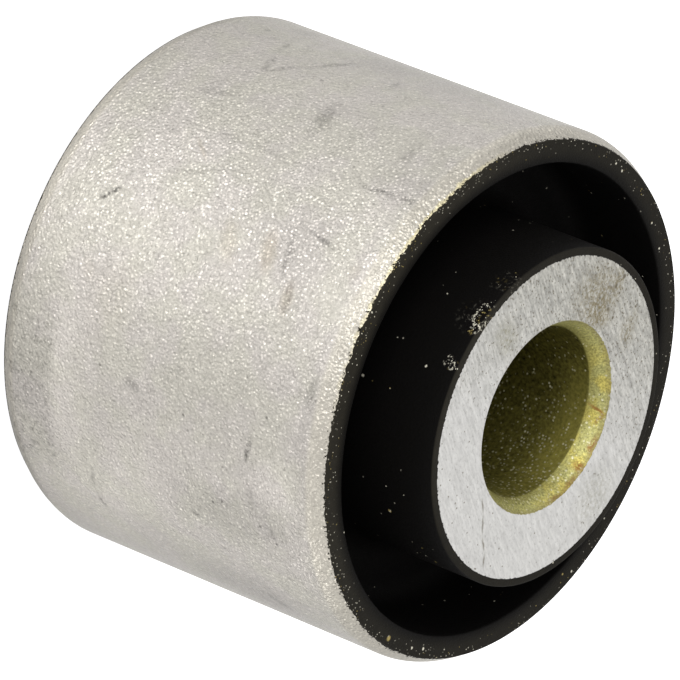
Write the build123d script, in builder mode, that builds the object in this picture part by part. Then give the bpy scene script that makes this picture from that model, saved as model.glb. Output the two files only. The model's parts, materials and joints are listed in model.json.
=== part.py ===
from build123d import *
import os
from math import radians, tan

# A bonded rubber bush: a thin outer sleeve and a thick inner sleeve with rubber moulded between them.
# Millimetres. The axis is Z, the origin is the middle of the bore, and both ends are alike.

# Outer sleeve: a thin aluminium tube that is pressed into its housing
outer_sleeve_diameter = 38.0
outer_sleeve_length = 28.9
outer_sleeve_wall = 1.5
press_lead_depth = 0.65
press_lead_length = 1.05
press_lead_blend_radius = 1.5
sleeve_rim_width = 0.05

# Inner sleeve: a thick aluminium tube that a bolt clamps between two brackets
inner_sleeve_diameter = 22.9
inner_sleeve_length = 36.4
bore_diameter = 12.1
bore_chamfer_width = 0.8
bore_chamfer_depth = 1.3

# Rubber body: it lines the outer sleeve, covers the inner one and is hollowed at each end
lining_thickness = 0.75
lining_draft_angle = 1.0
skin_thickness = 0.55
recess_depth = 7.0
floor_bevel_share = 0.32

# Radii that the pieces share
outer_sleeve_radius = outer_sleeve_diameter / 2
rubber_radius = outer_sleeve_radius - outer_sleeve_wall
inner_sleeve_radius = inner_sleeve_diameter / 2
bore_radius = bore_diameter / 2

# Ends of the two sleeves above the middle plane
outer_end = outer_sleeve_length / 2
inner_end = inner_sleeve_length / 2

# The rubber fills the chamfer inside the outer sleeve's end, level with its rim
rim_outer_radius = outer_sleeve_radius - press_lead_depth
rim_inner_radius = rim_outer_radius - sleeve_rim_width
seat_depth = rim_inner_radius - rubber_radius

# The recess: its outer wall has draft, so that the mould can leave, and bevels take its floor up to both walls
recess_floor = outer_end - recess_depth
skin_radius = inner_sleeve_radius + skin_thickness
mouth_radius = rubber_radius - lining_thickness
lining_foot_radius = mouth_radius - recess_depth * tan(radians(lining_draft_angle))
floor_bevel = (lining_foot_radius - skin_radius) * floor_bevel_share


def corner(section, radius, height):
    return section.vertices().sort_by_distance((radius, height, 0))[0]


# Outer sleeve: each end has a press-in lead outside and the rubber's seat inside
with BuildPart() as outer_sleeve:
    with BuildSketch(Plane.XZ) as outer_sleeve_section:
        with BuildLine():
            Polyline(
                (rubber_radius, 0),
                (rubber_radius, outer_end - seat_depth),
                (rim_inner_radius, outer_end),
                (rim_outer_radius, outer_end),
                (outer_sleeve_radius, outer_end - press_lead_length),
                (outer_sleeve_radius, 0),
                close=True,
            )
        make_face()
        lead_corner = corner(outer_sleeve_section, outer_sleeve_radius, outer_end - press_lead_length)
        fillet(lead_corner, press_lead_blend_radius)
        mirror(about=Plane.XZ)
    revolve(axis=Axis.Z)


# Inner sleeve: each end of the bore has a countersunk mouth
with BuildPart() as inner_sleeve:
    with BuildSketch(Plane.XZ):
        with BuildLine():
            Polyline(
                (bore_radius, 0),
                (bore_radius, inner_end - bore_chamfer_depth),
                (bore_radius + bore_chamfer_width, inner_end),
                (inner_sleeve_radius, inner_end),
                (inner_sleeve_radius, 0),
                close=True,
            )
        make_face()
        mirror(about=Plane.XZ)
    revolve(axis=Axis.Z)


# Rubber body: a solid web at the middle, from which a skin and a lining stand up round each recess
with BuildPart() as rubber_body:
    with BuildSketch(Plane.XZ) as rubber_section:
        with BuildLine():
            Polyline(
                (inner_sleeve_radius, 0),
                (inner_sleeve_radius, inner_end),
                (skin_radius, inner_end),
                (skin_radius, recess_floor),
                (lining_foot_radius, recess_floor),
                (mouth_radius, outer_end),
                (rim_inner_radius, outer_end),
                (rubber_radius, outer_end - seat_depth),
                (rubber_radius, 0),
                close=True,
            )
        make_face()
        floor_corners = [
            corner(rubber_section, skin_radius, recess_floor),
            corner(rubber_section, lining_foot_radius, recess_floor),
        ]
        chamfer(floor_corners, floor_bevel)
        mirror(about=Plane.XZ)
    revolve(axis=Axis.Z)


os.makedirs("parts", exist_ok=True)

outer_sleeve.part.label = "outer_sleeve"
inner_sleeve.part.label = "inner_sleeve"
rubber_body.part.label = "rubber_body"

export_step(outer_sleeve.part, "parts/outer_sleeve.step")
export_step(inner_sleeve.part, "parts/inner_sleeve.step")
export_step(rubber_body.part, "parts/rubber_body.step")
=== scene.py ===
import json
from math import cos, degrees, pi, radians, sin

import bmesh
import bpy
from mathutils import Matrix, Vector, noise


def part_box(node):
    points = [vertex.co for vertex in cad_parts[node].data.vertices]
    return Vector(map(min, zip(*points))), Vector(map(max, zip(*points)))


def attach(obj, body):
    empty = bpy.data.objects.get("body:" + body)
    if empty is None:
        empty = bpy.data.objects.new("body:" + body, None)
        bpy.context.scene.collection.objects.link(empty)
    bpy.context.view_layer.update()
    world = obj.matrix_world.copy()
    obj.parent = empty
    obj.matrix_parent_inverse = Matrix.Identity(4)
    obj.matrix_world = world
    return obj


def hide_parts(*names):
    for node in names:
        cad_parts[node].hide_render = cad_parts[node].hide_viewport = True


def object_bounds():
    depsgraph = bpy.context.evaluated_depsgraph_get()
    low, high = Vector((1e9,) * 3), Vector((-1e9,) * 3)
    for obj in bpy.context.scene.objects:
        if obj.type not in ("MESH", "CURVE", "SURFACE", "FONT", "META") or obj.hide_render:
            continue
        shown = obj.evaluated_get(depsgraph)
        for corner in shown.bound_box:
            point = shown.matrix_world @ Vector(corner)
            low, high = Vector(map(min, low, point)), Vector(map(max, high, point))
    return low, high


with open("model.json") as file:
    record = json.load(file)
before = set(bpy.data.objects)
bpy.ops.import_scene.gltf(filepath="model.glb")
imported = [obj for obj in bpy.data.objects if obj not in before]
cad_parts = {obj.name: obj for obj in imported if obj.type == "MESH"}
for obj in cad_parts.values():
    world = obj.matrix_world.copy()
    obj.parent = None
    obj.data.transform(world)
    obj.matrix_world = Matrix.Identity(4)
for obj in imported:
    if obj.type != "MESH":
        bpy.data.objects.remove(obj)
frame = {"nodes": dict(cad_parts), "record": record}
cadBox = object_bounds()
mm = 0.001  # the scene is in metres

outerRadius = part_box("outer_sleeve")[1].x
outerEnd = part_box("outer_sleeve")[1].z
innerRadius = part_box("inner_sleeve")[1].x
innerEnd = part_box("inner_sleeve")[1].z
boreMount = next(mount for mount in frame["record"]["mounts"] if mount["name"] == "bolt_bore")
boreRadius = boreMount["dims"]["r_mm"] * mm
boreEnd = boreMount["dims"]["length_mm"] * mm / 2
print("frame loaded:", sorted(frame["nodes"]))


# Shader helpers

class Wire:
    # A node's output that can stand in a sum with numbers and other wires
    def __init__(self, paint, socket):
        self.paint = paint
        self.socket = socket

    def sum(self, operation, left, right=0.0):
        return self.paint.node("ShaderNodeMath", {"operation": operation}, {0: left, 1: right})

    def __add__(self, other):
        return self.sum("ADD", self, other)

    def __radd__(self, other):
        return self.sum("ADD", other, self)

    def __sub__(self, other):
        return self.sum("SUBTRACT", self, other)

    def __rsub__(self, other):
        return self.sum("SUBTRACT", other, self)

    def __mul__(self, other):
        return self.sum("MULTIPLY", self, other)

    def __rmul__(self, other):
        return self.sum("MULTIPLY", other, self)

    def __gt__(self, other):
        return self.sum("GREATER_THAN", self, other)

    def __lt__(self, other):
        return self.sum("LESS_THAN", self, other)

    def __abs__(self):
        return self.sum("ABSOLUTE", self)

    def beside(self, output):
        # Another output of the same node
        return Wire(self.paint, self.socket.node.outputs[output])


class Paint:
    # The nodes of one material, or of the world
    def __init__(self, owner):
        owner.use_nodes = True
        self.owner = owner
        self.tree = owner.node_tree
        self.tree.nodes.clear()

    def node(self, kind, settings=None, sockets=None, output=0):
        made = self.tree.nodes.new(kind)
        for name, value in (settings or {}).items():
            setattr(made, name, value)
        for name, value in (sockets or {}).items():
            if isinstance(value, Wire):
                self.tree.links.new(value.socket, made.inputs[name])
            else:
                made.inputs[name].default_value = value
        return Wire(self, made.outputs[output]) if len(made.outputs) else None

    def vector(self, operation, sockets, output=0):
        return self.node("ShaderNodeVectorMath", {"operation": operation}, sockets, output)

    def place(self):
        return self.node("ShaderNodeTexCoord", output="Object")

    def point(self, x, y, z=0.0):
        return self.node("ShaderNodeCombineXYZ", None, {0: x, 1: y, 2: z})

    def axes(self, where):
        x = self.node("ShaderNodeSeparateXYZ", None, {0: where})
        return x, x.beside(1), x.beside(2)

    def fade(self, wire, low, high, top=1.0):
        # 0 at low and top at high, smooth between them; low may be the larger
        return self.node(
            "ShaderNodeMapRange",
            {"interpolation_type": "SMOOTHSTEP"},
            {0: wire, 1: low, 2: high, 4: top},
        )

    def cloud(self, where, size, detail=2.0, roughness=0.5):
        # Noise from 0 to 1 with patches of about that size
        return self.node(
            "ShaderNodeTexNoise",
            None,
            {"Vector": where, "Scale": 1 / size, "Detail": detail, "Roughness": roughness},
        )

    def cells(self, where, size):
        # How far it is to the middle of the nearest cell, as a share of the cells' size
        return self.node("ShaderNodeTexVoronoi", None, {"Vector": where, "Scale": 1 / size})

    def chance(self, cells):
        # A number of its own, from 0 to 1, for each of the cells
        return self.axes(cells.beside("Color"))[0]

    def flecks(self, where, size, reach, share, core=0.5):
        # Small dots of that reach in some of the cells
        cells = self.cells(where, size)
        dots = self.fade(cells, reach / size, core * reach / size)
        return dots * (self.chance(cells) < share)

    def blend(self, share, first, second):
        return self.node("ShaderNodeMix", {"data_type": "RGBA"}, {0: share, 6: first, 7: second}, 2)

    def scaled(self, colour, share):
        return self.vector("SCALE", {0: colour, "Scale": share})

    def shift(self, where, size, reach):
        # The place moved about by noise, so that edges drawn with it wander
        drift = self.cloud(where, size).beside("Color")
        centred = self.vector("SUBTRACT", {0: drift, 1: (0.5, 0.5, 0.5)})
        return self.vector("ADD", {0: where, 1: self.scaled(centred, 2 * reach)})

    def frayed(self, length, where, size, reach):
        # A length that noise makes longer and shorter, so that an edge drawn with it is ragged
        return length + (self.cloud(where, size) - 0.5) * reach

    def measured(self, where, turn, size, spot=(0.0, 0.0, 0.0)):
        # The place measured from a spot, in lengths of that size, along axes turned in the XY plane
        return self.node(
            "ShaderNodeMapping",
            {"vector_type": "TEXTURE"},
            {"Vector": where, "Location": spot, "Rotation": (0.0, 0.0, radians(turn)), "Scale": size},
        )

    def dot(self, where, spot, reach, top=1.0, core=0.4):
        distance = self.vector("DISTANCE", {0: where, 1: spot}, 1)
        return self.fade(distance, reach, core * reach, top)

    def mark(self, where, spot, turn, length, width, core=0.2, top=1.0):
        # An ellipse that fades from its core to its edge
        local = self.measured(where, turn, (length, width, 1.0), spot)
        reach = self.vector("LENGTH", {0: local}, 1)
        return self.fade(reach, 1.0, core, top)

    def bump(self, height, distance, under=None):
        sockets = {"Height": height, "Distance": distance}
        if under is not None:
            sockets["Normal"] = under
        return self.node("ShaderNodeBump", None, sockets)

    def surface(self, sockets):
        shader = self.node("ShaderNodeBsdfPrincipled", None, sockets)
        self.node("ShaderNodeOutputMaterial", None, {"Surface": shader})
        return self.owner

    def seen(self, byCamera, inMirrors):
        # What is added where the camera or a reflection sees a thing, and not to its light
        direct = self.node("ShaderNodeLightPath", output="Is Camera Ray")
        glossy = direct.beside("Is Glossy Ray")
        through = direct.beside("Is Transmission Ray")
        return direct * byCamera + (glossy + through) * inMirrors


def tone(red, green, blue):
    return (red, green, blue, 1.0)


# Mesh helpers

def edgeAt(mesh, spot):
    def excess(edge):
        first, second = edge.verts
        return (first.co - spot).length + (second.co - spot).length - edge.calc_length()
    return min(mesh.edges, key=excess)


def turned(outline, columns):
    # The upper half of a ring's outline, turned round the Z axis and mirrored below.
    # A corner is (radius, height, its rounding, how many faces lead to the next corner).
    weld = 0.001 * mm
    arcStep = 0.25 * mm  # a rounding gets one more segment for each of these
    mesh = bmesh.new()
    points = [mesh.verts.new((corner[0], 0.0, corner[1])) for corner in outline]
    middles = []
    for first, second in zip(points, points[1:]):
        mesh.edges.new((first, second))
        middles.append((first.co + second.co) / 2)
    for point, corner in zip(points, outline):
        rounding = corner[2]
        if rounding:
            bmesh.ops.bevel(
                mesh,
                geom=[point],
                offset=rounding,
                offset_type="OFFSET",
                segments=3 + int(rounding / arcStep),
                profile=0.5,
                affect="VERTICES",
                material=-1,
            )
    for middle, corner in zip(middles, outline):
        faces = corner[3]
        if faces > 1:
            bmesh.ops.subdivide_edges(mesh, edges=[edgeAt(mesh, middle)], cuts=faces - 1)
    bmesh.ops.spin(
        mesh,
        geom=[*mesh.verts, *mesh.edges],
        cent=(0.0, 0.0, 0.0),
        axis=(0.0, 0.0, 1.0),
        dvec=(0.0, 0.0, 0.0),
        angle=2 * pi,
        steps=columns,
        use_merge=True,
        use_duplicate=False,
    )
    bmesh.ops.mirror(
        mesh,
        geom=[*mesh.verts, *mesh.edges, *mesh.faces],
        matrix=Matrix.Identity(4),
        merge_dist=weld,
        axis="Z",
    )
    bmesh.ops.remove_doubles(mesh, verts=mesh.verts, dist=weld)
    bmesh.ops.recalc_face_normals(mesh, faces=mesh.faces)
    return mesh


def ripple(spot, size):
    # Smooth noise from -1 to 1
    return noise.noise(Vector(spot) / size)


def addObject(name, data):
    made = bpy.data.objects.new(name, data)
    bpy.context.scene.collection.objects.link(made)
    return made


def addMesh(name, mesh, material):
    data = bpy.data.meshes.new(name)
    mesh.to_mesh(data)
    mesh.free()
    data.materials.append(material)
    return addObject(name, data)


def addPiece(name, mesh, material, node):
    piece = addMesh(name, mesh, material)
    piece.data.shade_smooth()
    piece.data.set_sharp_from_angle(angle=radians(38))
    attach(piece, "root")
    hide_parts(node)
    print(name, "made with", len(piece.data.polygons), "faces")


# Outer sleeve: a shot-blasted aluminium tube with a lead at each end

outerSleeve = {
    "wallThickness": 1.5 * mm,
    "leadDepth": 0.65 * mm,
    "leadLength": 1.05 * mm,
    "leadBlend": 0.42 * mm,  # along each side of the lead's corner
    "rimWidth": 0.05 * mm,
    "seatDepth": 0.8 * mm,
    "columns": 480,
    "wave": 0.012 * mm,
    "waveSize": 5.0 * mm,
    "pinkTone": tone(0.500, 0.469, 0.435),
    "creamTone": tone(0.495, 0.472, 0.420),
    "brownTone": tone(0.40, 0.34, 0.26),
    "leadTone": tone(0.498, 0.468, 0.405),
    # the upper rim's golden edge, partly a painted highlight
    "goldTone": tone(0.72, 0.64, 0.36),
    "residueTone": tone(0.02, 0.018, 0.012),
    "leadFade": 0.5 * mm,
    "leadCover": 0.8,  # how far the lead's tone covers the wall's
    "goldCover": 0.65,
    "patchSize": 3.2 * mm,
    "patchSpan": (0.38, 0.62),  # where in the noise the cream comes in
    # Patterns that change the tone: the size of each and how far it lightens or darkens
    "blotchSize": 5.0 * mm,
    "blotchLight": 0.14,
    "smudgeSize": 0.9 * mm,
    "smudgeStretch": 2.2,
    "smudgeTurn": 12,  # degrees
    "smudgeLight": 0.22,
    "mottleSize": 0.33 * mm,
    "mottleLight": 0.14,
    "mottleDark": 0.08,
    "mottleSpan": (0.42, 0.25),
    "speckSize": 0.8 * mm,
    "speckReach": 0.12 * mm,
    "speckDark": 0.24,
    "speckShare": 0.12,
    "speckGain": 0.28,  # added to the share on the +X side
    "speckTurn": 45,  # degrees round, where all of it is added
    # Bright dots: bare metal from the shot, more metallic, with painted glints added to their colour
    "sparkSize": 0.23 * mm,
    "sparkReach": 0.115 * mm,
    "sparkLight": 0.24,
    "sparkMetal": 0.75,
    "sparkChance": (0.9, 0.4),
    "glintSize": 0.45 * mm,
    "glintReach": 0.09 * mm,
    "glintShare": 0.45,
    "glintLight": 0.28,
    "glintFlankLight": 0.28,  # painted glints added to the sparks on the -X side of the brightest part
    # painted shade between the painted glints on the bright band's flank
    "glintFlankDark": 0.05,
    # Relief, and what the surface is
    "dentSize": 0.22 * mm,
    "dentDepth": 0.10 * mm,
    "grainSize": 0.20 * mm,
    "dentLeast": 0.4,
    "dentSpread": 0.4,  # how much deeper the deepest dents are
    "grainHeight": 1.4,  # against the dents
    "leadSmoothing": 0.2,
    "rollSize": 2.6 * mm,
    "rollDepth": 0.030 * mm,
    "roughness": 0.28,
    "residueRoughness": 0.4,  # added where rubber is left
    "metallic": 0.23,
    "leadMetallic": 0.6,
    "sheen": 0.1,  # specular level of the share that is not metallic
    "edgeTint": tone(0.7, 0.7, 0.7),
    # Noise that makes edges wander: its size and how far it moves them
    "markWander": (0.5 * mm, 0.14 * mm),
    "sparkWander": (0.3 * mm, 0.05 * mm),
    "dentWander": (0.2 * mm, 0.04 * mm),
    "goldFray": (0.5 * mm, 0.5 * mm),
    "residueFray": (0.17 * mm, 1.5 * mm),
    # Below the rim: where the golden edge and the rubber start, and where they are full
    "goldRise": (0.35 * mm, 0.15 * mm),
    "residueRise": (0.07 * mm, 0.0),
    # Spans in degrees round the wall: each comes in over its first two and goes out over its last two
    "goldSpan": (-60, -42, -25, 25),
    "glintFlankSpan": (-58, -38, -24, -2),
    "wornSpan": (3, 30, 48, 56),
    # The darker edge at the far end
    "wornHeight": -9.8 * mm,
    "wornBlend": 0.2 * mm,
    "wornDark": 0.08,
    "wornGrain": 0.4 * mm,
    "wornSpeckle": 0.30,
    "wornSplit": (0.50, 0.66),
    # The noise that breaks up the scuffs, and how strong it can make them
    "breakSize": 0.35 * mm,
    "breakSpan": (0.25, 0.75),
    "breakStrength": 2.5,
    # Soft zones, partly the wall's own tone and partly painted highlight and painted shade, most of all on
    # the leads: degrees round the wall from its -Y side, height, reach round and up, change of tone
    "toneAndLightZones": [
        (57, -13.7 * mm, 6.5 * mm, 1.3 * mm, -0.36),
        (-62, -13.5 * mm, 4.5 * mm, 0.9 * mm, -0.18),
        (-20, -14.1 * mm, 12.0 * mm, 1.6 * mm, 0.26),
        (50, 0.0 * mm, 8.0 * mm, 26.0 * mm, 0.13),
        (26, -8.8 * mm, 6.5 * mm, 1.3 * mm, 0.08),
        (34, 10.6 * mm, 3.0 * mm, 2.8 * mm, 0.15),
        (51, -3.2 * mm, 4.2 * mm, 4.6 * mm, 0.12),
        (47, 7.5 * mm, 3.4 * mm, 6.5 * mm, -0.15),
        (72, 4.0 * mm, 3.6 * mm, 6.5 * mm, -0.12),
        (-71, -1.2 * mm, 3.0 * mm, 3.2 * mm, -0.09),
        (-79, 3.0 * mm, 4.5 * mm, 9.0 * mm, -0.11),
        (45, 3.0 * mm, 3.4 * mm, 4.2 * mm, -0.07),
        (78, 8.0 * mm, 4.5 * mm, 6.5 * mm, -0.08),
        (14, 3.0 * mm, 5.0 * mm, 8.0 * mm, -0.06),
        (-15, 7.4 * mm, 2.6 * mm, 2.6 * mm, -0.05),
        (-34, 11.0 * mm, 2.4 * mm, 3.4 * mm, -0.06),
        (-76, -9.0 * mm, 1.6 * mm, 1.2 * mm, -0.12),
        (-62, 14.2 * mm, 7.0 * mm, 1.0 * mm, -0.12),
        (24, 14.1 * mm, 7.0 * mm, 1.2 * mm, 0.05),
        (22, 12.6 * mm, 8.0 * mm, 0.6 * mm, -0.06),
        (-9, -9.4 * mm, 6.0 * mm, 3.6 * mm, -0.04),
        (-28, 8.5 * mm, 3.5 * mm, 7.0 * mm, 0.07),
        (-14, 14.2 * mm, 8.0 * mm, 1.0 * mm, 0.13),
        (-8, 13.2 * mm, 10.0 * mm, 0.7 * mm, 0.10),
        (-12, 11.6 * mm, 8.0 * mm, 3.2 * mm, 0.10),
        (34, -8.0 * mm, 9.0 * mm, 2.6 * mm, 0.10),
        (63, -8.0 * mm, 6.5 * mm, 6.0 * mm, 0.10),
    ],
    # Scuffs: degrees round, height, half length, half width, slope in degrees, darkness
    "scuffs": [
        (-43.8, 1.8 * mm, 2.90 * mm, 1.30 * mm, 8, 0.13),
        (-44.5, 1.8 * mm, 1.60 * mm, 0.65 * mm, 14, 0.06),
        (-54.5, -6.1 * mm, 1.90 * mm, 0.42 * mm, 16, 0.19),
        (-54.2, -4.8 * mm, 1.90 * mm, 0.42 * mm, -37, 0.17),
        (-62.5, -2.8 * mm, 2.50 * mm, 0.46 * mm, -25, 0.17),
        (-63.5, -7.2 * mm, 1.60 * mm, 0.26 * mm, 14, 0.17),
        (-64.0, 2.4 * mm, 1.10 * mm, 0.40 * mm, 20, 0.15),
        (-40.0, -6.8 * mm, 2.60 * mm, 0.60 * mm, 106, 0.12),
        (-27.5, -7.5 * mm, 0.80 * mm, 0.22 * mm, 80, 0.18),
        (-31.4, 10.2 * mm, 1.10 * mm, 0.24 * mm, 88, 0.16),
        (-31.8, 12.4 * mm, 1.00 * mm, 0.24 * mm, 92, 0.20),
        (-43.0, 9.6 * mm, 1.50 * mm, 0.70 * mm, 0, 0.10),
        (-10.0, -8.8 * mm, 1.20 * mm, 0.28 * mm, -42, 0.42),
        (-11.0, 6.8 * mm, 2.10 * mm, 0.46 * mm, 12, 0.20),
        (-30.8, 0.0 * mm, 17.0 * mm, 0.30 * mm, 90, 0.06),
        (-31.2, 10.0 * mm, 3.60 * mm, 0.40 * mm, 90, 0.08),
        (-16.5, 9.0 * mm, 2.90 * mm, 0.26 * mm, 77, 0.20),
        (-20.5, -3.6 * mm, 3.90 * mm, 0.40 * mm, 111, 0.11),
        (-3.0, 8.25 * mm, 1.70 * mm, 0.46 * mm, 7, 0.25),
        (13.0, 12.6 * mm, 1.50 * mm, 0.65 * mm, 3, 0.15),
        (25.5, -2.3 * mm, 1.10 * mm, 0.55 * mm, 80, 0.16),
        (29.2, 8.05 * mm, 1.40 * mm, 0.34 * mm, -13, 0.38),
        (40.5, 8.3 * mm, 1.70 * mm, 0.40 * mm, 0, 0.13),
        (52.5, -6.7 * mm, 1.40 * mm, 0.30 * mm, -10, 0.24),
        (59.5, -6.6 * mm, 0.70 * mm, 0.32 * mm, 20, 0.28),
        (48.0, 9.9 * mm, 1.10 * mm, 0.30 * mm, 10, 0.18),
        (50.5, 2.8 * mm, 0.80 * mm, 0.24 * mm, 80, 0.25),
        (73.0, 7.2 * mm, 1.70 * mm, 0.60 * mm, 50, 0.18),
    ],
    # Brownish scuffs, the same way
    "stains": [
        (-9.5, 1.9 * mm, 2.50 * mm, 1.00 * mm, 26, 0.24),
        (-10.5, 5.2 * mm, 2.30 * mm, 0.95 * mm, 20, 0.42),
        (-3.0, 8.2 * mm, 1.70 * mm, 0.75 * mm, 7, 0.38),
        (-25.8, -4.2 * mm, 1.60 * mm, 0.26 * mm, 53, 0.30),
        (6.0, -8.0 * mm, 1.30 * mm, 0.80 * mm, 30, 0.14),
        (-13.0, 12.2 * mm, 0.90 * mm, 0.80 * mm, 0, 0.16),
        (10.0, -5.5 * mm, 4.50 * mm, 3.00 * mm, 0, 0.10),
    ],
    # Pits: degrees round, height, reach, darkness
    "pits": [
        (-68.0, -10.2 * mm, 0.34 * mm, 0.32),
        (-30.9, 8.8 * mm, 0.22 * mm, 0.30),
        (-55.0, -1.6 * mm, 0.16 * mm, 0.45),
        (-54.0, 4.1 * mm, 0.15 * mm, 0.35),
        (-34.5, 7.0 * mm, 0.14 * mm, 0.35),
        (-28.0, 10.4 * mm, 0.14 * mm, 0.35),
        (-31.0, 12.8 * mm, 0.16 * mm, 0.40),
        (14.0, 13.1 * mm, 0.15 * mm, 0.40),
        (21.0, 9.4 * mm, 0.16 * mm, 0.50),
        (30.4, 11.3 * mm, 0.17 * mm, 0.45),
        (35.3, 5.9 * mm, 0.14 * mm, 0.35),
        (24.0, -5.3 * mm, 0.16 * mm, 0.50),
        (27.4, 2.3 * mm, 0.15 * mm, 0.45),
        (24.0, -9.8 * mm, 0.16 * mm, 0.45),
        (45.0, 4.7 * mm, 0.20 * mm, 0.50),
        (44.0, 5.6 * mm, 0.16 * mm, 0.45),
        (46.5, 8.8 * mm, 0.17 * mm, 0.45),
        (49.5, 10.1 * mm, 0.18 * mm, 0.50),
        (46.0, 1.7 * mm, 0.14 * mm, 0.30),
        (58.0, 4.6 * mm, 0.15 * mm, 0.35),
        (48.5, 7.2 * mm, 0.14 * mm, 0.35),
        (48.3, 10.7 * mm, 0.15 * mm, 0.35),
    ],
}


def wallSpot(angle, height):
    # A place on the wall as if it were unrolled
    return (radians(angle) * outerRadius, height, 0.0)


def within(paint, turn, span):
    start, full, fading, stop = [radians(angle) for angle in span]
    return paint.fade(turn, start, full) * paint.fade(turn, stop, fading)


def sleeveColour(paint, where, wall, look):
    # Warm and cool patches with a few brownish stains
    patches = paint.cloud(where, look["patchSize"], detail=3.0)
    colour = paint.blend(paint.fade(patches, *look["patchSpan"]), look["pinkTone"], look["creamTone"])
    for angle, height, length, width, slope, share in look["stains"]:
        stain = paint.mark(wall, wallSpot(angle, height), slope, length, width, top=share)
        colour = paint.blend(stain, colour, look["brownTone"])
    return colour


def sleeveMottle(paint, where, wall, turn, look):
    # Blotches, drawn-out smudges, a fine mottle and dark specks
    blotch = paint.cloud(where, look["blotchSize"], detail=4.0, roughness=0.6)
    drawn = paint.measured(wall, look["smudgeTurn"], (look["smudgeStretch"], 1.0, 1.0))
    smudge = paint.cloud(drawn, look["smudgeSize"], detail=3.0, roughness=0.6)
    mottle = paint.cloud(where, look["mottleSize"], detail=2.0, roughness=0.6)
    share = look["speckShare"] + paint.fade(turn, 0.0, radians(look["speckTurn"]), look["speckGain"])
    specks = paint.flecks(where, look["speckSize"], look["speckReach"], share)
    change = (blotch - 0.5) * look["blotchLight"] + (smudge - 0.5) * look["smudgeLight"]
    change = change + (mottle - 0.5) * look["mottleLight"]
    change = change - paint.fade(mottle, *look["mottleSpan"], look["mottleDark"])
    return change - specks * look["speckDark"]


def sleeveZonesAndPaintedLight(paint, wall, look):
    # Soft zones that are lighter or darker: partly the wall's own tone, partly painted highlight and painted
    # shade
    change = 0.0
    for angle, height, reachRound, reachUp, gain in look["toneAndLightZones"]:
        zone = paint.mark(wall, wallSpot(angle, height), 0, reachRound, reachUp, core=0.3, top=gain)
        change = change + zone
    return change


def sleeveWear(paint, where, wall, look):
    # How much the scuffs and pits darken the wall
    scuffs = 0.0
    for angle, height, length, width, slope, share in look["scuffs"]:
        scuffs = scuffs + paint.mark(wall, wallSpot(angle, height), slope, length, width, top=share)
    grain = paint.cloud(where, look["breakSize"], detail=3.0, roughness=0.6)
    broken = paint.fade(grain, *look["breakSpan"], look["breakStrength"])
    pits = 0.0
    for angle, height, reach, share in look["pits"]:
        pits = pits + paint.dot(wall, wallSpot(angle, height), reach, share)
    return scuffs * broken + pits


def sleeveWornEdge(paint, where, turn, z, look):
    # How much the far end's worn side is darkened
    low = paint.fade(z, look["wornHeight"] + look["wornBlend"], look["wornHeight"] - look["wornBlend"])
    grain = paint.cloud(where, look["wornGrain"], detail=3.0, roughness=0.6)
    dark = look["wornDark"] + paint.fade(grain, *look["wornSplit"], look["wornSpeckle"])
    return low * within(paint, turn, look["wornSpan"]) * dark


def sleeveSparks(paint, where, turn, look):
    # Where the sparks are, and how much painted glint light they and the sparser glints add, with painted
    # shade between them on the bright band's flank
    wandered = paint.shift(where, *look["sparkWander"])
    cells = paint.cells(wandered, look["sparkSize"])
    reach = look["sparkReach"] / look["sparkSize"]
    sparks = paint.fade(cells, reach, 0.5 * reach)
    sparks = sparks * paint.fade(paint.chance(cells), *look["sparkChance"])
    glints = paint.flecks(wandered, look["glintSize"], look["glintReach"], look["glintShare"])
    glintFlank = within(paint, turn, look["glintFlankSpan"])
    light = sparks * (look["sparkLight"] + glintFlank * look["glintFlankLight"])
    return sparks, light + glints * look["glintLight"] - glintFlank * look["glintFlankDark"]


def sleeveGoldEdgeAndHighlight(paint, where, turn, z, look):
    # The upper end has a golden edge on its -X side, pale there as a painted highlight of the rim
    height = paint.frayed(z, where, *look["goldFray"])
    golden = paint.fade(outerEnd - height, *look["goldRise"], look["goldCover"])
    return golden * within(paint, turn, look["goldSpan"])


def sleeveResidue(paint, where, z, look):
    # Flecks of rubber are left on the rim
    height = paint.frayed(abs(z), where, *look["residueFray"])
    return paint.fade(outerEnd - height, *look["residueRise"])


def sleeveRelief(paint, where, lead, look):
    # Overlapping dents from the shot, with fine grain, on a slowly rolling wall
    rolls = paint.bump(paint.cloud(where, look["rollSize"]), look["rollDepth"])
    dents = paint.cells(paint.shift(where, *look["dentWander"]), look["dentSize"])
    depth = look["dentLeast"] + paint.chance(dents) * look["dentSpread"]
    grain = paint.cloud(where, look["grainSize"], detail=0.5)
    relief = dents * dents * depth + grain * look["grainHeight"]
    relief = relief * (1 - lead * look["leadSmoothing"])
    return paint.bump(relief, look["dentDepth"], rolls)


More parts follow.
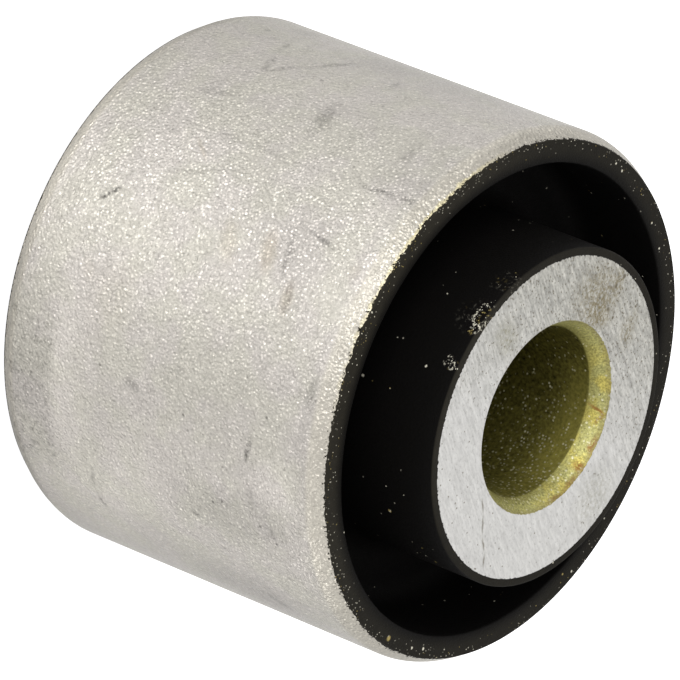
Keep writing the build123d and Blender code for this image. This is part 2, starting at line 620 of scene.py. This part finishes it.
def sleeveMaterial(look):
    paint = Paint(bpy.data.materials.new("blastedAluminium"))
    where = paint.place()
    x, y, z = paint.axes(where)
    turn = paint.node("ShaderNodeMath", {"operation": "ARCTAN2"}, {0: x, 1: 0 - y})
    wall = paint.shift(paint.point(turn * outerRadius, z), *look["markWander"])
    lead = paint.fade(outerEnd - abs(z), look["leadLength"] + look["leadFade"], look["leadLength"])
    sparks, sparkle = sleeveSparks(paint, where, turn, look)
    residue = sleeveResidue(paint, where, z, look)

    shade = 1 + sleeveZonesAndPaintedLight(paint, wall, look) + sleeveMottle(paint, where, wall, turn, look) + sparkle
    shade = shade - sleeveWear(paint, where, wall, look) - sleeveWornEdge(paint, where, turn, z, look)
    colour = paint.blend(lead * look["leadCover"], sleeveColour(paint, where, wall, look), look["leadTone"])
    colour = paint.scaled(colour, shade)
    colour = paint.blend(sleeveGoldEdgeAndHighlight(paint, where, turn, z, look), colour, look["goldTone"])
    colour = paint.blend(residue, colour, look["residueTone"])

    metallic = look["metallic"] + lead * (look["leadMetallic"] - look["metallic"])
    metallic = metallic + sparks * (1 - metallic) * look["sparkMetal"]
    return paint.surface(
        {
            "Base Color": colour,
            "Metallic": metallic * (1 - residue),
            "Roughness": look["roughness"] + residue * look["residueRoughness"],
            "Specular IOR Level": look["sheen"],
            "Specular Tint": look["edgeTint"],
            "Normal": sleeveRelief(paint, where, lead, look),
        }
    )


def makeOuterSleeve(look):
    rim = outerRadius - look["leadDepth"]
    back = outerRadius - look["wallThickness"]
    mesh = turned(
        [
            (outerRadius, 0.0, 0.0, 24),
            (outerRadius, outerEnd - look["leadLength"], look["leadBlend"], 2),
            (rim, outerEnd, 0.0, 1),
            (rim - look["rimWidth"], outerEnd, 0.0, 1),
            (back, outerEnd - look["seatDepth"], 0.0, 1),
            (back, 0.0, 0.0, 1),
        ],
        look["columns"],
    )
    for point in mesh.verts:
        radius = Vector(point.co.xy).length
        if radius > outerRadius - 0.01 * mm:  # the wall, without its leads
            wave = look["wave"] * (ripple(point.co, look["waveSize"]) - 1) / 2
            point.co.xy *= 1 + wave / radius
    addPiece("outer_sleeve_blasted", mesh, sleeveMaterial(look), "outer_sleeve")


makeOuterSleeve(outerSleeve)


# Rubber body: it lines the outer sleeve, wraps the inner one and is hollowed at each end

rubberBody = {
    "liningThickness": 0.75 * mm,
    "draft": 1.0,  # degrees
    "skinThickness": 0.55 * mm,
    "recessDepth": 7.0 * mm,
    "floorRounding": 1.45 * mm,
    "lipRounding": 0.12 * mm,
    "filmReach": 0.12 * mm,  # how far the rubber's film comes over the outer sleeve's rim
    "filmThickness": 0.02 * mm,
    "filmRounding": 0.03 * mm,
    "filmRoot": (0.04 * mm, 0.03 * mm),  # inside and below the rim's corner
    "filmJag": 0.13 * mm,
    "jagSize": 0.35 * mm,
    "jagWave": 1.7 * mm,
    "jagWaveShare": 0.6,
    "columns": 720,
    "rubberTone": tone(0.0040, 0.0036, 0.0033),
    # grey of the ends: dust with a painted sheen
    "dustAndSheenTone": tone(0.0212, 0.0190, 0.0142),
    "speckTone": tone(0.80, 0.76, 0.62),
    "goldTone": tone(0.42, 0.33, 0.12),
    "roughness": 0.6,
    "roughnessSpread": 0.2,
    "sheen": 0.05,  # specular level
    "grainSize": 0.14 * mm,
    "grainDepth": 0.05 * mm,
    # The ends' grey, which is dust and a painted sheen: the dust's size, the least share of the grey and how
    # much the noise adds
    "dustSize": 0.8 * mm,
    "dustLeast": 0.35,
    "dustSpread": 0.9,
    # The grey of the ends: outwards from the mouth of the recess, where it fades into painted shade, and
    # below the end
    "ringSpan": (-0.15 * mm, 1.05 * mm),
    "endSpan": (0.25 * mm, 0.05 * mm),
    # The near side of the ends: over which Y it starts, and how much paler and more speckled it is
    "nearSpan": (-5.0 * mm, -14.0 * mm),
    "nearLight": 0.5,
    "nearSprinkle": 0.8,
    # Specks of metal dust: the size of the cells that hold one, and its reach
    "coarseSpeck": (0.20 * mm, 0.09 * mm),
    "fineSpeck": (0.13 * mm, 0.055 * mm),
    "rimSpeck": (0.17 * mm, 0.06 * mm),
    "speckWander": (0.14 * mm, 0.05 * mm),  # the size of the noise that moves them, and its reach
    "strengthSize": 0.21 * mm,  # of the cells that make some specks fainter
    # The share of the cells that hold a speck
    "speckShare": 0.003,
    "gatheredShare": 0.5,
    "fineShare": 0.4,  # of the coarse specks' share
    "rimShare": 0.24,
    "rimSpan": (1.9 * mm, 0.7 * mm),  # inwards from the outer sleeve's wall
    # Crumbs that run together where specks gather
    "crustSize": 0.25 * mm,
    "crustStrength": 0.9,
    "crustSpan": (0.54, 0.66),
    # Golden specks
    "goldSize": 0.5 * mm,
    "goldShare": 0.25,
    # Specks on the end face: X, Y, reach
    "endSpecks": [
        (17.7 * mm, -2.4 * mm, 0.26 * mm),
        (17.8 * mm, 0.6 * mm, 0.14 * mm),
        (17.6 * mm, 1.9 * mm, 0.15 * mm),
        (9.2 * mm, 15.3 * mm, 0.13 * mm),
        (9.6 * mm, 14.4 * mm, 0.11 * mm),
        (-17.4 * mm, 3.0 * mm, 0.12 * mm),
        (-17.7 * mm, 2.0 * mm, 0.12 * mm),
        (-15.0 * mm, 8.7 * mm, 0.12 * mm),
        (-13.6 * mm, 10.7 * mm, 0.12 * mm),
    ],
    # Lone specks on the skin round the inner sleeve: degrees round it from its -Y side, height, reach
    "skinSpecks": [
        (9.0, 11.2 * mm, 0.15 * mm),
        (-1.1, 15.8 * mm, 0.12 * mm),
        (53.5, 14.0 * mm, 0.18 * mm),
        (78.0, 15.8 * mm, 0.12 * mm),
    ],
    # Where specks gather on the skin, the same way, with the share of places that hold one
    "clusters": [
        (-21.5, 17.8 * mm, 0.9 * mm, 0.95),
        (-18.0, 17.8 * mm, 0.6 * mm, 0.90),
        (-25.5, 17.8 * mm, 0.8 * mm, 0.60),
        (-22.0, 17.2 * mm, 1.6 * mm, 0.07),
        (-4.3, 17.75 * mm, 0.5 * mm, 0.90),
        (-5.3, 17.3 * mm, 0.5 * mm, 0.80),
        (-38.0, 17.6 * mm, 1.4 * mm, 0.08),
    ],
}

skinRadius = innerRadius + rubberBody["skinThickness"]
rimRadius = outerRadius - outerSleeve["leadDepth"]
recessMouth = rimRadius - outerSleeve["rimWidth"] - outerSleeve["seatDepth"] - rubberBody["liningThickness"]


def skinSpot(angle, height):
    # A place on the skin round the inner sleeve
    return (skinRadius * sin(radians(angle)), -skinRadius * cos(radians(angle)), height)


def metalDust(paint, where, radius, nearSide, look):
    # Placed specks, a sparse scatter that grows dense where specks gather, and a sprinkle at the rim
    ragged = paint.shift(where, *look["speckWander"])
    specks = 0.0
    for spotX, spotY, reach in look["endSpecks"]:
        specks = specks + paint.dot(ragged, (spotX, spotY, outerEnd), reach)
    for angle, height, reach in look["skinSpecks"]:
        specks = specks + paint.dot(ragged, skinSpot(angle, height), reach)
    gathered = 0.0
    for angle, height, reach, share in look["clusters"]:
        gathered = gathered + paint.dot(where, skinSpot(angle, height), reach, share)
    crumbs = paint.cloud(where, look["crustSize"], detail=3.0, roughness=0.6)
    crust = paint.fade(crumbs, *look["crustSpan"])
    share = look["speckShare"] + gathered * look["gatheredShare"]
    rimShare = paint.fade(outerRadius - radius, *look["rimSpan"], look["rimShare"])
    rimShare = rimShare * (1 + nearSide * look["nearSprinkle"])
    strength = paint.chance(paint.cells(where, look["strengthSize"]))
    unequal = paint.flecks(ragged, *look["coarseSpeck"], share)
    unequal = unequal + paint.flecks(ragged, *look["rimSpeck"], rimShare)
    even = paint.flecks(ragged, *look["fineSpeck"], share * look["fineShare"])
    return specks + unequal * strength + even + crust * gathered * look["crustStrength"]


def rubberMaterial(look):
    paint = Paint(bpy.data.materials.new("blackRubber"))
    where = paint.place()
    x, y, z = paint.axes(where)
    radius = paint.vector("LENGTH", {0: paint.point(x, y)}, 1)
    nearSide = paint.fade(y, *look["nearSpan"])

    # The ends are greyer than the walls: a fine dust and a painted sheen, fading to painted shade at the
    # mouth of the recess
    ring = paint.fade(radius - recessMouth, *look["ringSpan"])
    ring = ring * paint.fade(outerEnd - abs(z), *look["endSpan"])
    ends = ring + paint.fade(innerEnd - abs(z), look["lipRounding"], 0.0)
    dust = paint.cloud(where, look["dustSize"], detail=4.0, roughness=0.65)
    dustAndSheen = ends * (look["dustLeast"] + dust * look["dustSpread"])
    colour = paint.blend(dustAndSheen, look["rubberTone"], look["dustAndSheenTone"])
    colour = paint.scaled(colour, 1 + nearSide * look["nearLight"] * ends)

    gilded = paint.chance(paint.cells(where, look["goldSize"])) < look["goldShare"]
    metal = paint.blend(gilded, look["speckTone"], look["goldTone"])
    colour = paint.blend(metalDust(paint, where, radius, nearSide, look), colour, metal)
    grain = paint.cloud(where, look["grainSize"], detail=3.0, roughness=0.6)
    return paint.surface(
        {
            "Base Color": colour,
            "Roughness": look["roughness"] + (dust - 0.5) * look["roughnessSpread"],
            "Specular IOR Level": look["sheen"],
            "Normal": paint.bump(grain, look["grainDepth"]),
        }
    )


def makeRubberBody(look):
    lead = Vector((outerSleeve["leadDepth"], -outerSleeve["leadLength"])).normalized()
    back = outerRadius - outerSleeve["wallThickness"]
    recessFloor = outerEnd - look["recessDepth"]
    foot = recessMouth - look["recessDepth"] * sin(radians(look["draft"]))
    film = Vector((rimRadius, outerEnd)) + lead * look["filmReach"]
    rootIn, rootDown = look["filmRoot"]
    mesh = turned(
        [
            (back, 0.0, 0.0, 1),
            (back, outerEnd - outerSleeve["seatDepth"], 0.0, 1),
            (rimRadius - rootIn, outerEnd - rootDown, 0.0, 1),
            (film.x, film.y, 0.0, 1),
            (rimRadius, outerEnd + look["filmThickness"], look["filmRounding"], 4),
            (recessMouth, outerEnd, look["lipRounding"], 5),
            (foot, recessFloor, look["floorRounding"], 2),
            (skinRadius, recessFloor, look["floorRounding"], 8),
            (skinRadius, innerEnd, look["lipRounding"], 2),
            (innerRadius, innerEnd, 0.0, 1),
            (innerRadius, 0.0, 0.0, 1),
        ],
        look["columns"],
    )
    for point in mesh.verts:
        radius = Vector(point.co.xy).length
        if radius > film.x - 0.005 * mm:  # the film's edge
            jag = ripple(point.co, look["jagSize"]) + look["jagWaveShare"] * ripple(point.co, look["jagWave"])
            step = look["filmJag"] * jag
            point.co.xy *= 1 + lead.x * step / radius
            point.co.z += lead.y * step * (1 if point.co.z > 0 else -1)
    addPiece("rubber_moulding", mesh, rubberMaterial(look), "rubber_body")


makeRubberBody(rubberBody)


# Inner sleeve: a thick aluminium tube, sawn off at both ends, with a yellow coating in its bore

innerSleeve = {
    "mouthWidth": 0.8 * mm,
    "edgeRounding": 0.05 * mm,
    "mouthRounding": 0.06 * mm,
    "columns": 360,
    "brightTone": tone(0.640, 0.632, 0.612),
    "dullTone": tone(0.460, 0.450, 0.412),
    "greyTone": tone(0.33, 0.315, 0.24),
    "pitTone": tone(0.17, 0.15, 0.11),
    "stainTone": tone(0.205, 0.165, 0.075),
    "coatTone": tone(0.44, 0.42, 0.165),
    "richTone": tone(0.60, 0.50, 0.11),
    # the coating as painted shade at the chamfer's foot and in the bore
    "shadedCoatTone": tone(0.165, 0.147, 0.034),
    "glintTone": tone(0.75, 0.72, 0.50),
    "rustTone": tone(0.24, 0.09, 0.02),
    "coatMetallic": 0.5,
    "roughness": 0.42,
    "sheen": 0.15,  # specular level
    "reliefDepth": 0.05 * mm,
    "crumbHeight": 0.4,  # against the saw's lines
    # Noise that makes edges wander: its size and how far it moves them
    "markWander": (0.4 * mm, 0.10 * mm),
    "dullFray": (2.5 * mm, 6.0 * mm),
    "mouthFray": (0.3 * mm, 0.16 * mm),
    "smearFray": (0.22 * mm, 0.35 * mm),
    # Sawn ends: the turn of the lines in degrees, then for each pattern its size and its contrast
    "sawTurn": 55,
    "lineStretch": 5.0,  # length against width
    "crumbStretch": 1.6,
    "lineSize": 0.24 * mm,
    "lineLight": 1.3,
    "crumbSize": 0.20 * mm,
    "crumbLight": 0.9,
    "crumbPit": (0.42, 0.32),  # where in the noise the crumbs are dark
    "brightCrumbPit": 0.25,  # how dark they are on the bright side
    "wideLineSize": 0.7 * mm,
    "wideLineLight": 0.3,
    # The ends grow duller over this X, and their patterns stronger
    "dullSpan": (3.5 * mm, -9.0 * mm),
    "brightContrast": 0.45,
    "dullContrast": 1.25,
    # Pits: the size of the cells that hold one, its reach, its strength, and the shares of cells
    "pitSpeck": (0.26 * mm, 0.085 * mm),
    "pitStrength": 0.8,
    "pitShare": 0.08,
    "dullPitShare": 0.38,
    "soiledPitShare": 0.3,
    # Coating: its patches and grain, and the Y over which it grows richer
    "coatPatch": 1.5 * mm,
    "patchSpan": (0.42, 0.62),
    "richCover": 0.7,
    "coatGrain": 0.16 * mm,
    "coatContrast": 2.7,
    "richSpan": (1.0 * mm, 6.0 * mm),
    # Heights from the inner edge of the chamfer: where painted shade comes in at the chamfer's foot and in
    # the bore, and where painted light grows near the mouths
    "shadedSpan": (0.9 * mm, -0.1 * mm),
    "shadedCover": 0.5,
    "deepSpan": (0.2 * mm, -0.2 * mm),
    "nearSpan": (-3.5 * mm, -0.3 * mm),
    # The bore: its grain, the X and Y over which its painted light grows, and by how much, and its painted
    # shade on the -X side
    "boreGrain": 0.24 * mm,
    "boreContrast": 2.3,
    "litSpan": (-4.0 * mm, 3.0 * mm),
    "litLight": 0.35,
    "facingSpan": (3.0 * mm, 6.0 * mm),
    "facingLight": 0.75,
    "unlitDark": 0.26,
    # Painted glints in the coating, as the pits, more of them where the bore has painted light
    "glintSpeck": (0.23 * mm, 0.11 * mm),
    "strengthSize": 0.3 * mm,  # of the cells that make some glints fainter
    "glintShare": 0.12,
    "litGlintShare": 0.40,
    # The coating's stained edge and the rubber smeared over the sleeve's edge, inwards from each
    "edgeSpan": (0.28 * mm, 0.02 * mm),
    "edgeStain": 0.45,
    "smearWidth": 0.04 * mm,
    # The noise that breaks up the stains, and where in the crumbs the rust flakes off
    "breakSize": 0.28 * mm,
    "breakSpan": (0.35, 0.65),
    "flakeSpan": (0.34, 0.50),
    # The most soiled part of the end face: X, Y, half length, half width
    "soiled": (-9.2 * mm, 1.6 * mm, 3.2 * mm, 2.8 * mm),
    # Brown stains on the end face: X, Y, half length, half width, turn, strength
    "stains": [
        (-8.9 * mm, 0.3 * mm, 3.4 * mm, 3.8 * mm, 0, 0.80),
        (-8.0 * mm, 1.2 * mm, 1.6 * mm, 1.8 * mm, 30, 0.72),
        (-7.4 * mm, 1.4 * mm, 0.8 * mm, 2.0 * mm, 0, 0.55),
        (-10.4 * mm, 2.0 * mm, 1.6 * mm, 0.9 * mm, 10, 0.75),
        (-7.4 * mm, 5.2 * mm, 1.6 * mm, 1.3 * mm, 30, 0.65),
        (-8.6 * mm, 5.3 * mm, 0.9 * mm, 0.8 * mm, 0, 0.40),
    ],
    # Grey patches, the same way
    "patches": [
        (-4.0 * mm, -8.0 * mm, 2.3 * mm, 1.6 * mm, 60, 0.85),
        (-3.2 * mm, 9.5 * mm, 0.9 * mm, 0.6 * mm, 0, 0.35),
        (3.8 * mm, 8.9 * mm, 3.4 * mm, 3.0 * mm, 0, 0.50),
    ],
    # Dark dots on the end face: X, Y, reach
    "dots": [
        (-10.8 * mm, 2.4 * mm, 0.24 * mm),
        (-10.0 * mm, 1.9 * mm, 0.20 * mm),
        (-8.3 * mm, 2.0 * mm, 0.18 * mm),
        (-9.6 * mm, 2.6 * mm, 0.15 * mm),
        (-10.6 * mm, -1.0 * mm, 0.16 * mm),
        (-7.9 * mm, 2.9 * mm, 0.16 * mm),
        (-8.8 * mm, 0.6 * mm, 0.14 * mm),
        (-9.2 * mm, 5.0 * mm, 0.15 * mm),
    ],
    "scratchWidth": 0.14 * mm,
    "scratchStrength": 0.75,
    "scratchOverlap": 0.62,  # half a run and a little more, so that the runs meet
    # The corners of one scratch: X, Y
    "scratch": [
        (6.6 * mm, -3.7 * mm),
        (7.5 * mm, -2.9 * mm),
        (9.0 * mm, -2.0 * mm),
        (10.0 * mm, -1.0 * mm),
        (11.0 * mm, -0.5 * mm),
    ],
    # Rusty marks on the chamfer: X, Y, half length, half width, turn, strength
    "rust": [
        (-1.75 * mm, 6.25 * mm, 0.75 * mm, 0.16 * mm, 65, 0.80),
        (-1.20 * mm, 6.50 * mm, 0.60 * mm, 0.14 * mm, 170, 0.55),
        (0.60 * mm, 6.68 * mm, 1.10 * mm, 0.19 * mm, 176, 0.85),
        (2.30 * mm, 6.25 * mm, 0.60 * mm, 0.34 * mm, 155, 0.90),
        (3.50 * mm, 5.76 * mm, 1.30 * mm, 0.17 * mm, 148, 0.65),
        (4.80 * mm, 4.76 * mm, 1.10 * mm, 0.16 * mm, 132, 0.55),
    ],
}


def sawn(paint, where, stretch, look):
    # A pattern on this place is drawn out along the saw's lines
    return paint.measured(where, look["sawTurn"], (stretch, 1.0, 1.0))


def sawnFace(paint, where, lines, crumbs, dull, soiled, look):
    wide = paint.cloud(sawn(paint, where, look["lineStretch"], look), look["wideLineSize"])
    fine = (lines - 0.5) * look["lineLight"] + (crumbs - 0.5) * look["crumbLight"]
    fine = fine * (look["brightContrast"] + dull * (look["dullContrast"] - look["brightContrast"]))
    colour = paint.blend(dull, look["brightTone"], look["dullTone"])
    colour = paint.scaled(colour, 1 + fine + (wide - 0.5) * look["wideLineLight"])
    share = look["pitShare"] + dull * look["dullPitShare"] + soiled * look["soiledPitShare"]
    pits = paint.flecks(where, *look["pitSpeck"], share) * look["pitStrength"]
    crumbPits = paint.fade(crumbs, *look["crumbPit"])
    pits = pits + crumbPits * (look["brightCrumbPit"] + dull * (1 - look["brightCrumbPit"]))
    return paint.blend(pits, colour, look["pitTone"])


def faceMarks(paint, where, face, colour, look):
    # Patches, stains, dark dots and a scratch
    grain = paint.cloud(where, look["breakSize"], detail=4.0, roughness=0.7)
    broken = paint.fade(grain, *look["breakSpan"])
    for name, mixTone in (("patches", "greyTone"), ("stains", "stainTone")):
        for spotX, spotY, length, width, turn, share in look[name]:
            stain = paint.mark(face, (spotX, spotY, 0.0), turn, length, width, core=0.1, top=share)
            colour = paint.blend(stain * broken, colour, look[mixTone])
    for spotX, spotY, reach in look["dots"]:
        colour = paint.blend(paint.dot(face, (spotX, spotY, 0.0), reach), colour, look["pitTone"])
    for first, second in zip(look["scratch"], look["scratch"][1:]):
        run = Vector(second) - Vector(first)
        middle = (Vector(first) + Vector(second)) / 2
        turn = degrees(run.angle_signed(Vector((1.0, 0.0))))
        length = look["scratchOverlap"] * run.length
        scratch = paint.mark(face, (*middle, 0.0), turn, length, look["scratchWidth"], core=0.1)
        colour = paint.blend(scratch * look["scratchStrength"], colour, look["pitTone"])
    return colour


def boreCoat(paint, where, above, deep, look):
    # The yellow coating is mottled and richer on its +Y side; painted shade darkens it at the chamfer's foot
    # and in the bore
    x, y = paint.axes(where)[:2]
    patches = paint.cloud(where, look["coatPatch"], detail=4.0, roughness=0.6)
    rich = paint.fade(patches, *look["patchSpan"], look["richCover"]) * paint.fade(y, *look["richSpan"])
    coat = paint.blend(rich, look["coatTone"], look["richTone"])
    grain = paint.cloud(where, look["coatGrain"], detail=3.0, roughness=0.7)
    coat = paint.scaled(coat, 1 + (grain - 0.5) * look["coatContrast"])
    shaded = paint.fade(above, *look["shadedSpan"], look["shadedCover"])
    coat = paint.blend(shaded, coat, look["shadedCoatTone"])
    coat = paint.blend(deep, coat, look["shadedCoatTone"])

    # Grain in the bore, with painted light near its mouths and on its +X and +Y sides, and painted shade on
    # its -X side
    lit = paint.fade(x, *look["litSpan"])
    facing = paint.fade(y, *look["facingSpan"])
    near = paint.fade(above, *look["nearSpan"])
    light = near * (lit * look["litLight"] + facing * look["facingLight"]) - (1 - lit) * look["unlitDark"]
    grain = paint.cloud(where, look["boreGrain"], detail=3.0)
    light = light + (grain - 0.5) * look["boreContrast"]
    coat = paint.scaled(coat, 1 + light * deep)
    # Painted glints, more of them on the side with painted light
    glints = paint.flecks(where, *look["glintSpeck"], look["glintShare"] + lit * look["litGlintShare"])
    strength = paint.chance(paint.cells(where, look["strengthSize"]))
    return paint.blend(glints * strength, coat, look["glintTone"])


def innerMaterial(look):
    paint = Paint(bpy.data.materials.new("sawnAluminium"))
    where = paint.place()
    x, y, z = paint.axes(where)
    top = z > 0
    radius = paint.vector("LENGTH", {0: paint.point(x, y)}, 1)
    face = paint.shift(paint.point(x, y), *look["markWander"])

    # Sawn ends: fine lines and crumbs, duller and rougher on the -X side
    drawn = sawn(paint, where, look["lineStretch"], look)
    lines = paint.cloud(drawn, look["lineSize"], detail=3.0, roughness=0.6)
    drawn = sawn(paint, where, look["crumbStretch"], look)
    crumbs = paint.cloud(drawn, look["crumbSize"], detail=3.0, roughness=0.7)
    dull = paint.fade(paint.frayed(x, where, *look["dullFray"]), *look["dullSpan"])
    spotX, spotY, length, width = look["soiled"]
    soiled = paint.mark(face, (spotX, spotY, 0.0), 0, length, width) * top
    colour = sawnFace(paint, where, lines, crumbs, dull, soiled, look)
    colour = paint.blend(top, colour, faceMarks(paint, where, face, colour, look))

    # The coated bore and chamfer, with rusty marks at the upper end and a stained edge
    above = abs(z) - boreEnd
    deep = paint.fade(above, *look["deepSpan"])
    coat = boreCoat(paint, where, above, deep, look)
    flaking = paint.fade(crumbs, *look["flakeSpan"]) * (1 - deep) * top
    for spotX, spotY, length, width, turn, share in look["rust"]:
        rust = paint.mark(face, (spotX, spotY, 0.0), turn, length, width, core=0.1, top=share)
        coat = paint.blend(rust * flaking, coat, look["rustTone"])
    mouth = paint.frayed(boreRadius + look["mouthWidth"], where, *look["mouthFray"])
    edge = paint.fade(mouth - radius, *look["edgeSpan"], look["edgeStain"])
    coat = paint.blend(edge * (1 - deep), coat, look["stainTone"])
    coated = radius < mouth
    colour = paint.blend(coated, colour, coat)

    # The skin's rubber smears over the outer edge
    smear = paint.frayed(radius, where, *look["smearFray"])
    smear = paint.fade(innerRadius - smear, look["smearWidth"], 0.0)
    colour = paint.blend(smear, colour, rubberBody["rubberTone"])

    relief = lines * (1 - coated) + crumbs * look["crumbHeight"]
    return paint.surface(
        {
            "Base Color": colour,
            "Metallic": (1 - smear) * (1 - coated * (1 - look["coatMetallic"])),
            "Roughness": look["roughness"],
            "Specular IOR Level": look["sheen"],
            "Normal": paint.bump(relief, look["reliefDepth"]),
        }
    )


def makeInnerSleeve(look):
    chamferRadius = boreRadius + look["mouthWidth"]
    mesh = turned(
        [
            (boreRadius, 0.0, 0.0, 8),
            (boreRadius, boreEnd, look["mouthRounding"], 2),
            (chamferRadius, innerEnd, look["mouthRounding"], 5),
            (innerRadius, innerEnd, look["edgeRounding"], 1),
            (innerRadius, 0.0, 0.0, 1),
        ],
        look["columns"],
    )
    addPiece("inner_sleeve_sawn", mesh, innerMaterial(look), "inner_sleeve")


makeInnerSleeve(innerSleeve)


# Studio: a white floor, a white world and soft lamps

studio = {
    "floorSize": 3.0,
    "floorTone": tone(0.80, 0.80, 0.80),
    "floorGlow": 0.88,  # added where the camera sees the floor
    "mirroredGlow": 0.32,  # added where a reflection shows it
    "worldLight": 0.78,
    "cardLift": 0.5 * mm,  # above the floor
    # Lamps: azimuth and elevation in degrees, distance, width, height, brightness against white
    "lamps": {
        "keyLamp": (-18, 28, 0.6, 0.50, 0.30, 2.6),
    },
    # Light cards on the floor: azimuth, distance, width, length, brightness against white
    "cards": {
        "frontCard": (-11, 60 * mm, 13 * mm, 70 * mm, 2.4),
        "middleCard": (-9, 60 * mm, 46 * mm, 72 * mm, 0.6),
        "wideCard": (-4, 60 * mm, 90 * mm, 74 * mm, 0.2),
        "leftCard": (-100, 102 * mm, 44 * mm, 70 * mm, 0.9),
        "rightCard": (84, 102 * mm, 60 * mm, 70 * mm, 1.6),
        "backCard": (170, 102 * mm, 44 * mm, 70 * mm, 1.0),
    },
}


def makeWorld(look):
    world = bpy.data.worlds.new("whiteStudio")
    bpy.context.scene.world = world
    paint = Paint(world)
    rest = 1 - look["worldLight"]
    strength = look["worldLight"] + paint.seen(rest, rest)
    glow = paint.node("ShaderNodeBackground", None, {"Color": tone(1, 1, 1), "Strength": strength})
    paint.node("ShaderNodeOutputWorld", None, {"Surface": glow})


def makeFloor(look):
    paint = Paint(bpy.data.materials.new("whiteFloor"))
    matt = paint.node("ShaderNodeBsdfDiffuse", None, {"Color": look["floorTone"]})
    strength = paint.seen(look["floorGlow"], look["mirroredGlow"])
    glow = paint.node("ShaderNodeEmission", None, {"Color": tone(1, 1, 1), "Strength": strength})
    both = paint.node("ShaderNodeAddShader", None, {0: matt, 1: glow})
    paint.node("ShaderNodeOutputMaterial", None, {"Surface": both})
    mesh = bmesh.new()
    bmesh.ops.create_grid(mesh, x_segments=1, y_segments=1, size=look["floorSize"])
    bmesh.ops.translate(mesh, verts=mesh.verts, vec=(0.0, 0.0, cadBox[0].z))
    floor = addMesh("floor", mesh, paint.owner)


def addLamp(name, width, length, brightness, stand):
    lamp = bpy.data.lights.new(name, "AREA")
    lamp.shape = "RECTANGLE"
    lamp.size = width
    lamp.size_y = length
    lamp.energy = brightness * pi * width * length
    holder = addObject(name, lamp)
    holder.matrix_world = stand
    holder.visible_camera = False


def makeLamps(look):
    for name, (azimuth, elevation, distance, width, height, brightness) in look["lamps"].items():
        # The lamp looks down at the middle of the bush
        stand = (
            Matrix.Rotation(radians(azimuth), 4, "Z")
            @ Matrix.Rotation(radians(90 - elevation), 4, "X")
            @ Matrix.Translation((0.0, 0.0, distance))
        )
        addLamp(name, width, height, brightness, stand)
    for name, (azimuth, distance, width, length, brightness) in look["cards"].items():
        # The card lies on the floor and faces up, its length pointing away from the bush
        stand = (
            Matrix.Rotation(radians(azimuth), 4, "Z")
            @ Matrix.Translation((0.0, -distance, cadBox[0].z + look["cardLift"]))
            @ Matrix.Rotation(pi, 4, "X")
        )
        addLamp(name, width, length, brightness, stand)


makeWorld(studio)
makeFloor(studio)
makeLamps(studio)
print("studio made")


# Camera

cameraView = {
    "sensor": 36.0,  # mm, as the lens
    "lens": 462.1,
    "tilt": 54.577,  # degrees between the line of sight and the bush's axis
    "roll": 111.585,  # degrees about the line of sight
    "aside": -11.065 * mm,  # from the middle of the outer sleeve's end
    "above": 4.096 * mm,
    "distance": 588.389 * mm,
}


def makeCamera(look):
    lens = bpy.data.cameras.new("camera")
    lens.sensor_width = look["sensor"]
    lens.lens = look["lens"]
    lens.clip_start = 10 * mm
    lens.clip_end = 10.0
    camera = addObject("camera", lens)
    camera.matrix_world = (
        Matrix.Translation((0.0, 0.0, outerEnd))
        @ Matrix.Rotation(radians(look["tilt"]), 4, "X")
        @ Matrix.Rotation(radians(look["roll"]), 4, "Z")
        @ Matrix.Translation((look["aside"], look["above"], look["distance"]))
    )
    bpy.context.scene.camera = camera


makeCamera(cameraView)
bpy.context.scene.view_settings.view_transform = "Standard"

print("scene ready")
